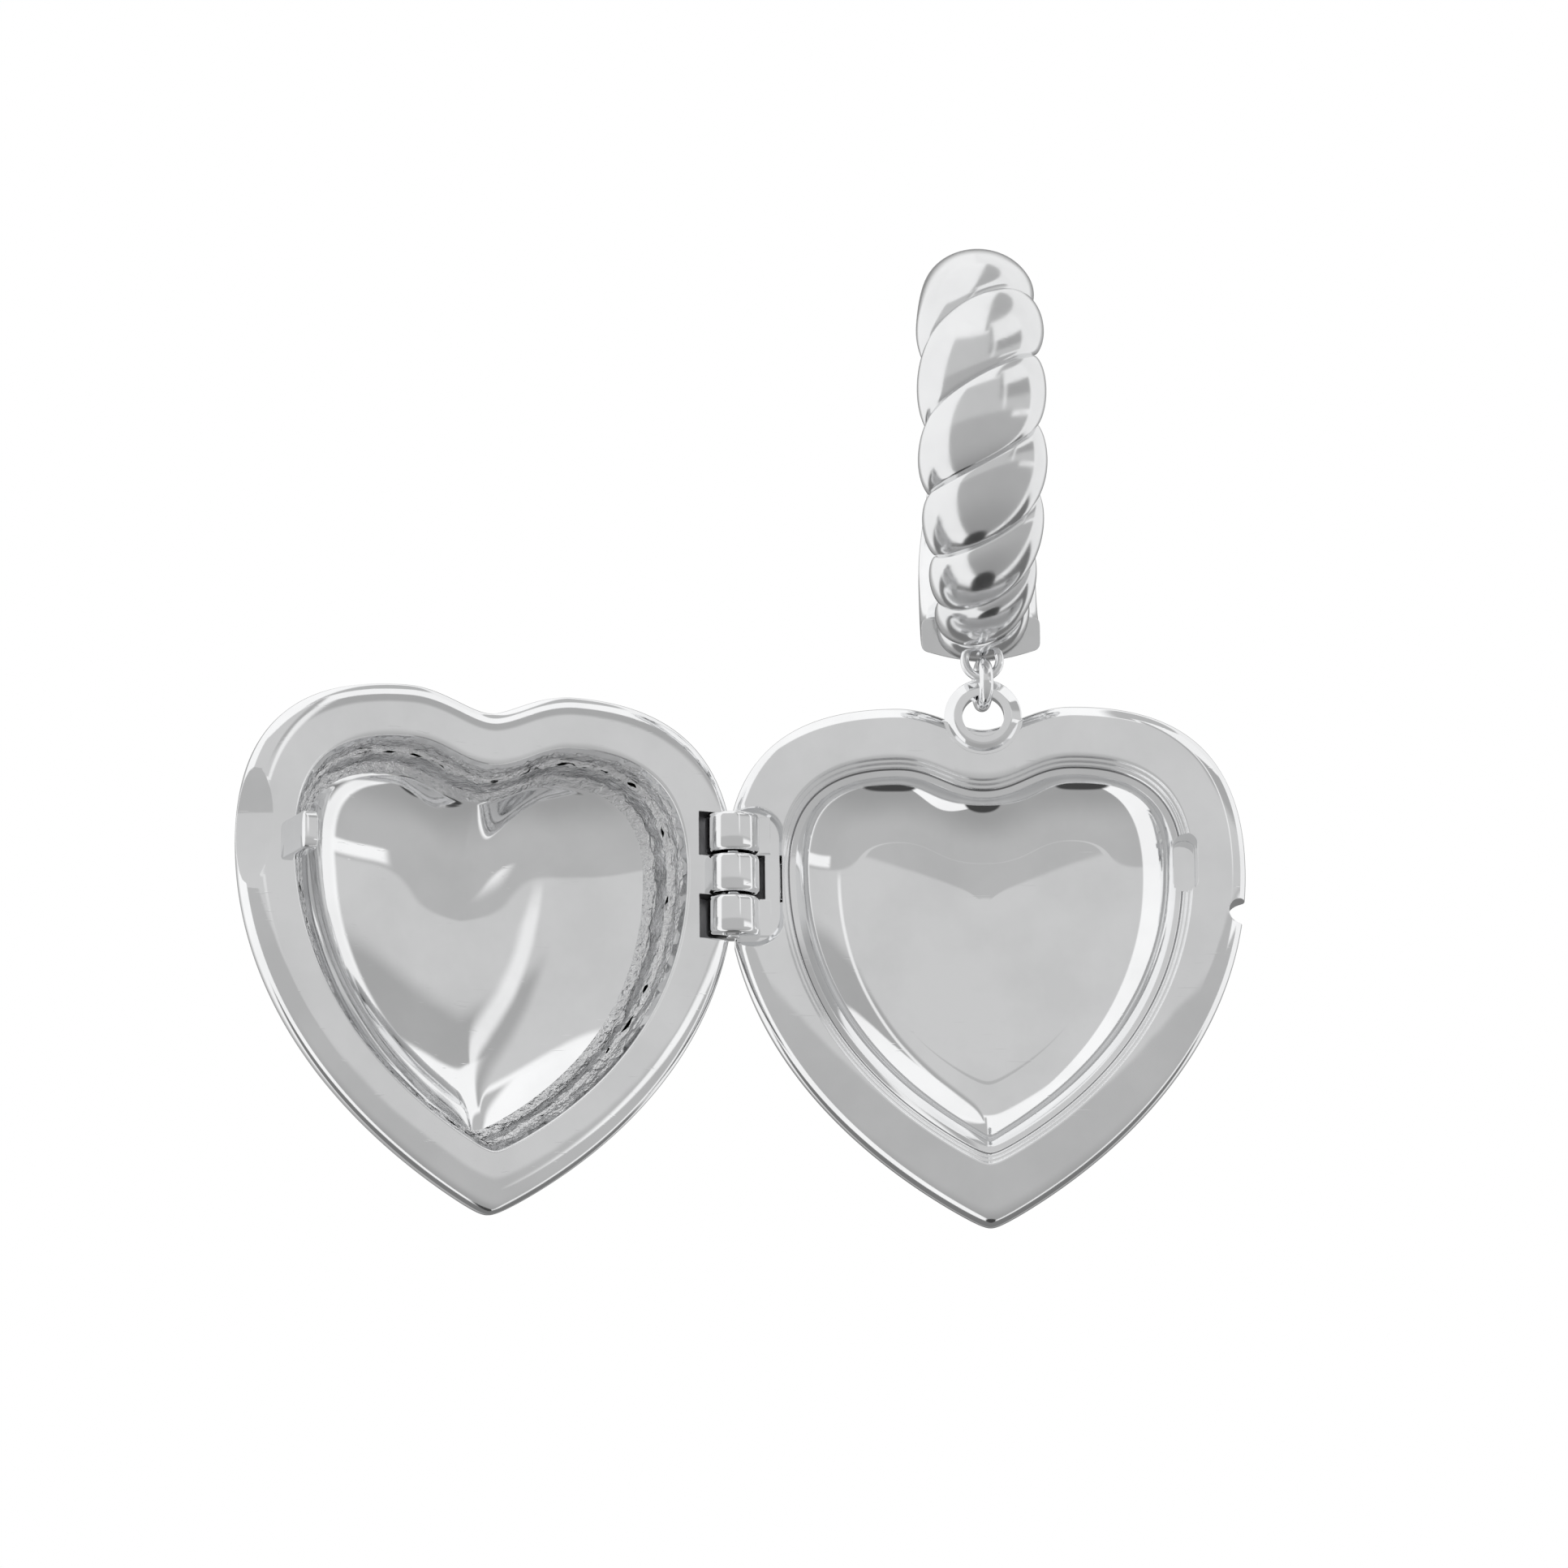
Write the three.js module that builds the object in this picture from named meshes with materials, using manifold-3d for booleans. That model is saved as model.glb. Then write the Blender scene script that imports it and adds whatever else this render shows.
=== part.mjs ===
// Heart locket earring: a twisted huggie hoop that carries an open, hinged heart locket on a jump ring.
//
// Frame, in millimetres: the origin is the middle of the ear post, where it passes through the ear lobe.
// +X is to the right seen from the front, +Y is to the back, +Z is up. The hoop lies in the YZ plane.
import * as THREE from "three";
import { mergeVertices } from "three/addons/utils/BufferGeometryUtils.js";
import Module from "manifold-3d";

const wasm = await Module();
wasm.setup();

const RADIANS = Math.PI / 180;
const SMALL_GAP = 0.04; // between linked rings, where one hangs on the other

// Hoop. Its angles run from the front (0) over the top (90) to the back (180); the bottom is -90.
const HOOP_RADIUS = 7.15; // outer
const POST_RADIUS = 5.35; // of the arc that the post's centre line follows
const POST_WIRE = 0.4; // radius
const POST_ANGLE = 112; // where the lobe hangs
const POST_FROM = 79;
const POST_TO = 158;
const POST_STEPS = 11;
const TWIST_TOP = 80; // the rounded end goes on past this
const TWIST_BOTTOM = -99;
const TWIST_STEPS = 50;
const STRAND_POINTS = 12; // per strand, two strands round the section
const FIRST_CREASE = 38.8; // hoop angle where the topmost crease crosses the front
const CREASE_DEPTH = 0.17; // as a share of the section's radius
const FLAT_INSIDE = 0.8; // inner half height of the section as a share of the outer one
const TWIST_CAP = [
  [4.5, 0.35], // degrees past the top, share of the section
  [3.6, 0.68],
  [2.0, 0.9],
];
const BAND_FROM = -101.5;
const BAND_TO = -208; // round the bottom and up the back
const BAND_WIDTH = 4.1;
const BAND_THICKNESS = 1.55;
const BAND_RIDGE = 0.45; // how far the outer face's middle stands proud of its sides
const BAND_STEPS = 24;

// Linked rings under the hoop, as heights of their wires under the hoop's lowest point.
const LUG_WIRE = 0.15; // radii of the wires
const RING_WIRE = 0.24;
const BAIL_WIRE = 0.25;
const RING_TOP = SMALL_GAP + RING_WIRE;
const LUG_BOTTOM = RING_TOP + RING_WIRE + SMALL_GAP + LUG_WIRE;
const BAIL_TOP = LUG_BOTTOM + LUG_WIRE + SMALL_GAP + BAIL_WIRE;
const RING_BOTTOM = BAIL_TOP + BAIL_WIRE + SMALL_GAP + RING_WIRE;
const RING_RADIUS = (RING_BOTTOM - RING_TOP) / 2; // of the wire's centre line
const RING_TURN = 10 * RADIANS; // how far the jump ring is turned out of the hoop's plane
const LUG_RADIUS = 0.6;
const BAIL_RADIUS = 0.97;

// Heart outline, in its own X and Z with the tip at the origin.
const HEART_HALF_WIDTH = 8.9;
const HEART_WIDEST = 12.2; // height of the widest place
const HEART_TOP = 17.98;
const HEART_CLEFT = 17.2;
const LOBE_TOP_X = 3.0;
const TIP_SLOPE = 28 * RADIANS;
const TIP_ROUNDING = 0.12; // how much lower the tip would be if it were sharp
const SIDE_HANDLES = [6.78, 4.73]; // curve handles at the tip and at the widest place
const LOBE_HANDLES = [4.6, 3.2]; // at the widest place and at the lobe's top
const BAIL_HEIGHT = 17.6; // of the bail loop's centre above the tip
const DOME_CENTRE = 11.3; // height of the point that the puffed rings shrink to

// Locket shells: rings of (inset from the heart outline, depth behind the hinge axis).
const RIM_GAP = 0.05; // each rim stands this far off the hinge axis, so the closed rims don't touch
const EDGE = [
  [0.0, 0.5],
  [0.14, 0.2],
  [0.45, RIM_GAP],
];
const BACK_OUTSIDE = [
  [0.6, 1.75],
  [0.15, 1.3],
  [0.0, 0.95],
];
const BACK_INSIDE = [
  [1.82, RIM_GAP],
  [1.92, 0.15],
  [1.98, 0.42],
  [2.14, 0.46],
  [2.2, 0.78],
  [2.36, 0.82],
  [2.5, 1.05],
  [2.85, 1.42],
  [3.4, 1.62],
];
const COVER_OUTSIDE = [
  [0.4, 1.35],
  [0.08, 1.0],
  [0.0, 0.8],
];
const COVER_INSIDE = [
  [1.82, RIM_GAP],
  [1.92, 0.15],
  [2.5, 1.6],
];
// Puffed middles: rings shrunk towards one point, from a first ring's inset and depth; cleft is the share
// of the rise that the valley below the cleft takes away.
const BACK_DOME = { inset: 1.3, start: 2.2, rise: 0.5, cleft: 0.1, scales: [1, 0.72, 0.42] };
const BACK_FLOOR = { inset: 4.0, start: 1.7, rise: 0.1, cleft: 0, scales: [1, 0.5] };
const COVER_DOME = { inset: 0.9, start: 1.8, rise: 2.5, cleft: 0.4, scales: [1, 0.88, 0.7, 0.48, 0.22] };
const COVER_HOLLOW = { inset: 2.7, start: 1.66, rise: 1.8, cleft: 0.45, scales: [1, 0.82, 0.62, 0.4, 0.18] };
const VALLEY = { from: 10.8, to: 14.5, half_width: 2.6 };

// Hinge, on the heart's side edge.
const HINGE_INSET = 0.25; // axis inside the heart's widest point
const HINGE_MIDDLE = 12.05; // height above the tip
const KNUCKLE_RADIUS = 0.93;
const KNUCKLE_LENGTH = 1.36;
const KNUCKLE_GAP = 0.08;
const KNUCKLE_BORE = 0.33;
const PIN_RADIUS = 0.26;
const PIN_PROUD = 0.06;
const SLOT_IN_BACK = 1.14; // radii of the clearance round the other shell's knuckles
const SLOT_IN_COVER = 1.2;
const PLATE_REACH = 1.62; // solder plate, from the axis
const PLATE_HEIGHT = 4.9;
const PLATE_SINK = 0.2;
const OPEN_ANGLE = 22; // how far the cover is swung forward from lying flat beside the back

// Latch tab on the cover, its notch in the back, and the two finger notches.
const LATCH_HEIGHT = 12.4;
const TAB = { inset: 1.78, thickness: 0.5, length: 1.3, proud: 1.15, root: 1.3, corner: 0.3 };
const LATCH_NOTCH = { inset: 1.66, width: 1.1, length: 2.0, depth: 1.3 };
const BAIL_SEAT = { radius: 1.33, depth: 0.2 }; // shallow round seat in the rim under the bail loop
const NAIL_NOTCH = { inset: 0.2, height: 10.7, radius: 0.42, depth: 3 };
const THUMB_SCOOP = { height: 12.9, radius: 7.0, reach: 1.1, depth: 0.8 };

const OUTLINE_STEPS = { side: 9, lobe: 6, cleft: 5 }; // on each part of half a heart

function silver(color, roughness) {
  return new THREE.MeshStandardMaterial({ color, roughness, metalness: 1 });
}

// ---------------------------------------------------------------- solids

function toSolid(geometry) {
  const bare = new THREE.BufferGeometry();
  bare.setAttribute("position", geometry.getAttribute("position"));
  if (geometry.index) {
    bare.setIndex(geometry.index);
  }
  const merged = mergeVertices(bare, 1e-5);
  return new wasm.Manifold(
    new wasm.Mesh({
      numProp: 3,
      vertProperties: merged.getAttribute("position").array,
      triVerts: new Uint32Array(merged.index.array),
    }),
  );
}

function toMesh(name, solid, material) {
  const made = solid.getMesh();
  const geometry = new THREE.BufferGeometry();
  geometry.setAttribute("position", new THREE.BufferAttribute(made.vertProperties, made.numProp));
  geometry.setIndex(new THREE.BufferAttribute(made.triVerts, 1));
  geometry.computeVertexNormals();
  const mesh = new THREE.Mesh(geometry, material);
  mesh.name = name;
  return mesh;
}

function volumeOf(points, triangles) {
  let six = 0;
  for (const [a, b, c] of triangles) {
    six += points[a].dot(points[b].clone().cross(points[c]));
  }
  return six / 6;
}

// A closed skin over rings that all have the same number of points, from a first point to a last one.
function loft(first, rings, last) {
  const count = rings[0].length;
  const points = [first, ...rings.flat(), last];
  const at = (ring, i) => 1 + ring * count + (i % count);
  const end = points.length - 1;
  const triangles = [];
  for (let i = 0; i < count; i++) {
    triangles.push([0, at(0, i), at(0, i + 1)]);
    triangles.push([end, at(rings.length - 1, i + 1), at(rings.length - 1, i)]);
    for (let ring = 0; ring < rings.length - 1; ring++) {
      triangles.push([at(ring, i), at(ring + 1, i), at(ring, i + 1)]);
      triangles.push([at(ring, i + 1), at(ring + 1, i), at(ring + 1, i + 1)]);
    }
  }
  const outward = volumeOf(points, triangles) > 0;
  const geometry = new THREE.BufferGeometry().setFromPoints(points);
  geometry.setIndex(triangles.flatMap(([a, b, c]) => (outward ? [a, b, c] : [a, c, b])));
  return toSolid(geometry);
}

function middleOf(ring) {
  const sum = ring.reduce((total, point) => total.add(point), new THREE.Vector3());
  return sum.divideScalar(ring.length);
}

function loftWithEnds(rings) {
  return loft(middleOf(rings[0]), rings, middleOf(rings.at(-1)));
}

function box(fromX, toX, fromY, toY, fromZ, toZ) {
  const geometry = new THREE.BoxGeometry(toX - fromX, toY - fromY, toZ - fromZ);
  geometry.translate((fromX + toX) / 2, (fromY + toY) / 2, (fromZ + toZ) / 2);
  return toSolid(geometry);
}

function uprightCylinder(radius, x, fromZ, toZ, sides = 24) {
  const geometry = new THREE.CylinderGeometry(radius, radius, toZ - fromZ, sides);
  geometry.rotateX(Math.PI / 2);
  geometry.translate(x, 0, (fromZ + toZ) / 2);
  return toSolid(geometry);
}

// A cylinder along Y.
function boreCylinder(radius, x, z, fromY, toY, sides = 24) {
  const geometry = new THREE.CylinderGeometry(radius, radius, toY - fromY, sides);
  geometry.translate(x, (fromY + toY) / 2, z);
  return toSolid(geometry);
}

// A round-wire ring whose hole's axis is Y.
function wireRing(radius, wire, y, z) {
  const geometry = new THREE.TorusGeometry(radius, wire, 10, 26);
  geometry.rotateX(Math.PI / 2);
  geometry.translate(0, y, z);
  return toSolid(geometry);
}

// ---------------------------------------------------------------- hoop

const hoopY = POST_RADIUS * Math.cos(POST_ANGLE * RADIANS);
const hoopZ = -POST_RADIUS * Math.sin(POST_ANGLE * RADIANS);
const hoopBottom = hoopZ - HOOP_RADIUS;

function hoopPoint(angle, radius, x) {
  const y = hoopY - radius * Math.cos(angle * RADIANS);
  const z = hoopZ + radius * Math.sin(angle * RADIANS);
  return new THREE.Vector3(x, y, z);
}

function smooth(low, high, value) {
  return THREE.MathUtils.smoothstep(value, low, high);
}

// Half width and half height of the twisted arc's section, which tapers to the bottom and to the top.
function twistSize(angle) {
  const low = smooth(15, 100, -angle);
  const high = smooth(30, 90, angle);
  return {
    width: 2.2 - 0.65 * low - 0.4 * high,
    height: 1.72 - 0.55 * low - 0.2 * high,
  };
}

// How many creases cross the front between the first one and this hoop angle.
function creaseCount(angle) {
  const way = (FIRST_CREASE - angle) / 100;
  return way > 0 ? 3.2 * way + 0.75 * way * way : 3.2 * way;
}

// The section's radius as a share of its full size: round lobes between sharp creases, plain inside
// the hoop, and one smooth dome above the first crease.
function lobeShare(strand, around) {
  if (strand < -0.5) {
    return 1;
  }
  const part = strand - Math.floor(strand);
  const lobe = Math.sqrt(4 * part * (1 - part));
  const outside = smooth(-55, -15, 90 - Math.abs(around - 90));
  return 1 - CREASE_DEPTH * (1 - lobe) * outside;
}

// One section. Its points turn with the strands, so a crease always runs along mesh edges.
function twistRing(angle, shrink) {
  const { width, height } = twistSize(angle);
  const count = creaseCount(angle);
  const ring = [];
  for (let i = 0; i < 2 * STRAND_POINTS; i++) {
    const turned = 180 * (count + i / STRAND_POINTS + 4);
    const around = (turned % 360) - 90;
    const share = lobeShare(count - (around - 90) / 180, around) * shrink;
    const out = Math.sin(around * RADIANS);
    const radius = HOOP_RADIUS - height + share * height * (out > 0 ? out : FLAT_INSIDE * out);
    ring.push(hoopPoint(angle, radius, share * width * Math.cos(around * RADIANS)));
  }
  return ring;
}

function twistedArc() {
  const rings = TWIST_CAP.map(([past, shrink]) => twistRing(TWIST_TOP + past, shrink));
  for (let step = 0; step <= TWIST_STEPS; step++) {
    rings.push(twistRing(THREE.MathUtils.lerp(TWIST_TOP, TWIST_BOTTOM, step / TWIST_STEPS), 1));
  }
  return loftWithEnds(rings);
}

function postTube(wire) {
  const rings = [];
  for (let step = 0; step <= POST_STEPS; step++) {
    const angle = THREE.MathUtils.lerp(POST_FROM, POST_TO, step / POST_STEPS);
    const ring = [];
    for (let i = 0; i < 12; i++) {
      const turn = (i / 12) * 2 * Math.PI;
      ring.push(hoopPoint(angle, POST_RADIUS + wire * Math.sin(turn), wire * Math.cos(turn)));
    }
    rings.push(ring);
  }
  return loftWithEnds(rings);
}

const postSocket = postTube(POST_WIRE + SMALL_GAP);

function hoopFront() {
  const lug = wireRing(LUG_RADIUS, LUG_WIRE, hoopY, hoopBottom - LUG_BOTTOM + LUG_RADIUS);
  return twistedArc().subtract(postSocket).add(lug);
}

// One section of the back arm: flat sides, a plain inside and a low ridge outside.
function bandRing(angle) {
  const half = (BAND_WIDTH / 2) * (1 - 0.3 * smooth(150, 208, -angle));
  const inner = HOOP_RADIUS - BAND_THICKNESS;
  const side = HOOP_RADIUS - BAND_RIDGE;
  const halfSection = [
    [0.55, HOOP_RADIUS - 0.4 * BAND_RIDGE],
    [0.94, side - 0.02],
    [1, side - 0.2],
    [1, inner + 0.15],
    [0.94, inner],
  ];
  const right = halfSection.map(([across, radius]) => hoopPoint(angle, radius, across * half));
  const left = halfSection.map(([across, radius]) => hoopPoint(angle, radius, -across * half));
  return [hoopPoint(angle, HOOP_RADIUS, 0), ...right, ...left.reverse()];
}

function hoopBack() {
  const rings = [];
  for (let step = 0; step <= BAND_STEPS; step++) {
    rings.push(bandRing(THREE.MathUtils.lerp(BAND_FROM, BAND_TO, step / BAND_STEPS)));
  }
  return loftWithEnds(rings).subtract(postSocket);
}

// ---------------------------------------------------------------- heart shells

function curvePoints(steps, from, corners) {
  const curve = new THREE.CubicBezierCurve(...corners.map(([x, z]) => new THREE.Vector2(x, z)));
  const points = [];
  for (let step = 0; step <= steps; step++) {
    points.push(curve.getPoint(THREE.MathUtils.lerp(from, 1, step / steps)));
  }
  return points;
}

// The heart outline moved inwards by an inset, as (x, z) points from the tip round the right side.
function heartOutline(inset) {
  const wide = HEART_HALF_WIDTH - inset;
  const top = HEART_TOP - inset;
  const cleft = HEART_CLEFT - inset;
  const tip = inset / Math.cos(TIP_SLOPE);
  const sideScale = (HEART_WIDEST - tip) / HEART_WIDEST;
  const lobeWide = (wide - LOBE_TOP_X) / (HEART_HALF_WIDTH - LOBE_TOP_X);
  const lobeHigh = (top - HEART_WIDEST) / (HEART_TOP - HEART_WIDEST);
  const start = tip - TIP_ROUNDING;
  const reach = SIDE_HANDLES[0] * sideScale;
  const side = curvePoints(OUTLINE_STEPS.side, 0.03, [
    [0, start],
    [reach * Math.cos(TIP_SLOPE), start + reach * Math.sin(TIP_SLOPE)],
    [wide, HEART_WIDEST - SIDE_HANDLES[1] * sideScale],
    [wide, HEART_WIDEST],
  ]);
  const lobe = curvePoints(OUTLINE_STEPS.lobe, 0, [
    [wide, HEART_WIDEST],
    [wide, HEART_WIDEST + LOBE_HANDLES[0] * lobeHigh],
    [LOBE_TOP_X + LOBE_HANDLES[1] * lobeWide, top],
    [LOBE_TOP_X, top],
  ]);
  const valley = curvePoints(OUTLINE_STEPS.cleft, 0, [
    [LOBE_TOP_X, top],
    [LOBE_TOP_X - 1.3, top],
    [0.75 + 0.2 * inset, cleft],
    [0, cleft],
  ]);
  const right = [...side, ...lobe.slice(1), ...valley.slice(1, -1)];
  const left = right.map(({ x, y }) => new THREE.Vector2(-x, y)).reverse();
  return [new THREE.Vector2(0, tip), ...right, new THREE.Vector2(0, cleft), ...left];
}

function flatRing([inset, depth]) {
  return heartOutline(inset).map(({ x, y: z }) => new THREE.Vector3(x, depth, z));
}

// A puffed middle's rings, from its rim inwards. The valley below the cleft has a sharp bottom line.
function domeRings({ inset, start, rise, cleft, scales }) {
  return scales.map((scale) =>
    heartOutline(inset).map((point) => {
      const x = scale * point.x;
      const z = DOME_CENTRE + scale * (point.y - DOME_CENTRE);
      const below = smooth(VALLEY.from, VALLEY.to, z) * Math.max(0, 1 - Math.abs(x) / VALLEY.half_width);
      return new THREE.Vector3(x, start + rise * (1 - scale * scale) * (1 - cleft * below), z);
    }),
  );
}

function domeMiddle({ start, rise }) {
  return new THREE.Vector3(0, start + rise, DOME_CENTRE);
}

function heartShell(outsideDome, outside, inside, insideDome) {
  const rings = [
    ...domeRings(outsideDome).reverse(),
    ...outside.map(flatRing),
    ...EDGE.map(flatRing),
    ...inside.map(flatRing),
    ...domeRings(insideDome),
  ];
  return loft(domeMiddle(outsideDome), rings, domeMiddle(insideDome));
}

// ---------------------------------------------------------------- hinge

const hingeReach = HEART_HALF_WIDTH - HINGE_INSET; // from a heart's middle to the hinge axis
const knucklePitch = KNUCKLE_LENGTH + KNUCKLE_GAP;

// One knuckle round an upright axis, with the web that solders it to the shell on one side of it.
function knuckle(axisX, level, toShell) {
  const middle = HINGE_MIDDLE + level * knucklePitch;
  const bottom = middle - KNUCKLE_LENGTH / 2;
  const top = middle + KNUCKLE_LENGTH / 2;
  const webEnd = axisX + toShell * 1.25;
  const web = box(Math.min(axisX, webEnd), Math.max(axisX, webEnd), 0.15, 0.75, bottom, top);
  return uprightCylinder(KNUCKLE_RADIUS, axisX, bottom, top).add(web);
}

// The room that a shell leaves round a knuckle of the other one.
function knuckleSlot(axisX, level, radius) {
  const middle = HINGE_MIDDLE + level * knucklePitch;
  const half = KNUCKLE_LENGTH / 2 + KNUCKLE_GAP;
  return uprightCylinder(radius, axisX, middle - half, middle + half);
}

// A pin's length of cylinder through all three knuckles: the pin, or with a wider radius its bore.
function pinCylinder(radius, axisX, past) {
  const half = 1.5 * KNUCKLE_LENGTH + KNUCKLE_GAP + past;
  return uprightCylinder(radius, axisX, HINGE_MIDDLE - half, HINGE_MIDDLE + half, 16);
}

// ---------------------------------------------------------------- the two halves, each in its heart's frame

const bailDepth = RIM_GAP + 0.3;

function locketBack() {
  const axisX = -hingeReach;
  const farX = HEART_HALF_WIDTH;
  const plateLow = HINGE_MIDDLE - PLATE_HEIGHT / 2;
  const plateTop = RIM_GAP + PLATE_SINK;
  const nailX = farX - NAIL_NOTCH.inset;
  const notchX = farX - LATCH_NOTCH.inset;
  const notchLow = LATCH_HEIGHT - LATCH_NOTCH.length / 2;
  const notchTop = LATCH_HEIGHT + LATCH_NOTCH.length / 2;
  const bail = wireRing(BAIL_RADIUS, BAIL_WIRE, bailDepth, BAIL_HEIGHT);
  return heartShell(BACK_DOME, BACK_OUTSIDE, BACK_INSIDE, BACK_FLOOR)
    .subtract(box(-farX - 1, axisX + 0.04, -1, 4, 0, HEART_TOP))
    .subtract(box(axisX - 1, axisX + PLATE_REACH, -1, plateTop, plateLow, plateLow + PLATE_HEIGHT))
    .add(knuckle(axisX, -1, 1))
    .add(knuckle(axisX, 1, 1))
    .subtract(knuckleSlot(axisX, 0, SLOT_IN_BACK))
    .subtract(pinCylinder(KNUCKLE_BORE, axisX, 2 * PIN_PROUD))
    .subtract(box(notchX - LATCH_NOTCH.width, notchX, -1, LATCH_NOTCH.depth, notchLow, notchTop))
    .subtract(boreCylinder(NAIL_NOTCH.radius, nailX, NAIL_NOTCH.height, -1, NAIL_NOTCH.depth))
    .subtract(boreCylinder(BAIL_SEAT.radius, 0, BAIL_HEIGHT, -1, RIM_GAP + BAIL_SEAT.depth))
    .add(bail)
    .subtract(boreCylinder(BAIL_RADIUS - BAIL_WIRE, 0, BAIL_HEIGHT, -1, 3));
}

// A flat tab whose free end, in front of the rim, has round corners.
function latchTab() {
  const half = TAB.length / 2;
  const shape = new THREE.Shape();
  shape.moveTo(half, -TAB.root);
  shape.lineTo(half, TAB.proud - TAB.corner);
  shape.absarc(half - TAB.corner, TAB.proud - TAB.corner, TAB.corner, 0, Math.PI / 2, false);
  shape.absarc(TAB.corner - half, TAB.proud - TAB.corner, TAB.corner, Math.PI / 2, Math.PI, false);
  shape.lineTo(-half, -TAB.root);
  const settings = { depth: TAB.thickness, bevelEnabled: false, curveSegments: 4 };
  const geometry = new THREE.ExtrudeGeometry(shape, settings);
  geometry.applyMatrix4(
    new THREE.Matrix4().makeBasis(
      new THREE.Vector3(0, 0, 1),
      new THREE.Vector3(0, -1, 0),
      new THREE.Vector3(1, 0, 0),
    ),
  );
  geometry.translate(TAB.inset - HEART_HALF_WIDTH, 0, LATCH_HEIGHT);
  return toSolid(geometry);
}

// A round-bottomed cutter whose lowest line starts at the rim and slopes down to the shell's outer edge.
function thumbCutter() {
  const { radius, reach, depth, height } = THUMB_SCOOP;
  const geometry = new THREE.CylinderGeometry(radius, radius, 6, 64);
  geometry.rotateZ(Math.PI / 2);
  geometry.translate(0, -radius, 0);
  geometry.rotateZ(-Math.atan2(depth, reach));
  geometry.translate(reach - HEART_HALF_WIDTH, RIM_GAP, height);
  return toSolid(geometry);
}

function locketCover() {
  const axisX = hingeReach;
  return heartShell(COVER_DOME, COVER_OUTSIDE, COVER_INSIDE, COVER_HOLLOW)
    .subtract(box(axisX - 0.04, HEART_HALF_WIDTH + 1, -1, 5, 0, HEART_TOP))
    .subtract(knuckleSlot(axisX, -1, SLOT_IN_COVER))
    .subtract(knuckleSlot(axisX, 1, SLOT_IN_COVER))
    .add(knuckle(axisX, 0, -1))
    .subtract(pinCylinder(KNUCKLE_BORE, axisX, 2 * PIN_PROUD))
    .subtract(thumbCutter())
    .add(latchTab());
}

// ---------------------------------------------------------------- assembly

const bailBelowHoop = BAIL_TOP + BAIL_RADIUS;
const polished = silver(0xe6e7e9, 0.08);
const plain = silver(0xd9dadc, 0.16);

function hoop() {
  const group = new THREE.Group();
  group.add(toMesh("hoop_front", hoopFront(), polished.clone()));
  group.add(toMesh("hoop_back", hoopBack(), plain.clone()));
  group.add(toMesh("ear_post", postTube(POST_WIRE), plain.clone()));
  return group;
}

function jumpRing() {
  const ring = toMesh("jump_ring", wireRing(RING_RADIUS, RING_WIRE, 0, 0), polished.clone());
  ring.rotation.z = Math.PI / 2 + RING_TURN;
  ring.position.set(0, hoopY, hoopBottom - RING_TOP - RING_RADIUS);
  return ring;
}

function locket() {
  const group = new THREE.Group();
  group.position.set(0, hoopY - bailDepth, hoopBottom - bailBelowHoop - BAIL_HEIGHT);
  group.add(toMesh("locket_back", locketBack(), polished.clone()));
  const pin = toMesh("hinge_pin", pinCylinder(PIN_RADIUS, 0, PIN_PROUD), plain.clone());
  pin.position.x = -hingeReach;
  group.add(pin);
  const swung = new THREE.Group();
  swung.position.x = -hingeReach;
  swung.rotation.z = OPEN_ANGLE * RADIANS;
  const cover = toMesh("locket_cover", locketCover(), polished.clone());
  cover.position.x = -hingeReach;
  swung.add(cover);
  group.add(swung);
  return group;
}

const earring = new THREE.Group();
earring.add(hoop());
earring.add(jumpRing());
earring.add(locket());

export default earring;
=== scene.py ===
import math

import bmesh
import bpy
import numpy as np
from mathutils import Matrix, Vector

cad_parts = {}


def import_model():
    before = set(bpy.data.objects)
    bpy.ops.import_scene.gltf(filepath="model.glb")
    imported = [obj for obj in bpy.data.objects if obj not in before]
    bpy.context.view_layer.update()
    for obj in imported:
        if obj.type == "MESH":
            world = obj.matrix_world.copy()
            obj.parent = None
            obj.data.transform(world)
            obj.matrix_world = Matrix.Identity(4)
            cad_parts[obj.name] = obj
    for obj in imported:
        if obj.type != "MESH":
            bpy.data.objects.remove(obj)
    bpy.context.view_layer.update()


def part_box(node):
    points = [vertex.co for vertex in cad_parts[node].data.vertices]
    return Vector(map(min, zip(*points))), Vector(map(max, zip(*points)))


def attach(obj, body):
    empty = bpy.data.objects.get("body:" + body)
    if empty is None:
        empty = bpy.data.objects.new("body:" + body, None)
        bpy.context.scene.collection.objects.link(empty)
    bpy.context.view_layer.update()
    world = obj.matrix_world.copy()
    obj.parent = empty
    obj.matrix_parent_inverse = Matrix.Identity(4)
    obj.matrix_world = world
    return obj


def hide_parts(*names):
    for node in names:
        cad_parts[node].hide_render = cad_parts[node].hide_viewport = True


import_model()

MM = 0.001

# ------------------------------------------------------------------ dimensions, in millimetres

HOOP_RADIUS = 7.15
POST_RADIUS = 5.35
POST_ANGLE = 112
POST_ARC = (79, 158)
POST_WIRE = 0.4
TWIST_ARC = (80, -99)  # hoop angles: the front is 0, the top 90, the bottom -90
TWIST_CAP = 5.2  # how far the rounded end goes on past the twist, in degrees
FIRST_CREASE = 38.8
CREASE_DEPTH = 0.185
FLAT_INSIDE = 0.8
TWIST_WIDTH, WIDTH_LOST_LOW, WIDTH_LOST_HIGH = 2.2, 0.65, 0.4  # half the width, and what the ends lose
TWIST_HEIGHT, HEIGHT_LOST_LOW, HEIGHT_LOST_HIGH = 1.72, 0.55, 0.2
LOBE_POWER = 1.15
BAND_ARC = (-101.0, -208)
BAND_WIDTH = 4.1
BAND_THICKNESS = 1.55
BAND_RIDGE = 0.45
BAND_TAPER = 0.3
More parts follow.
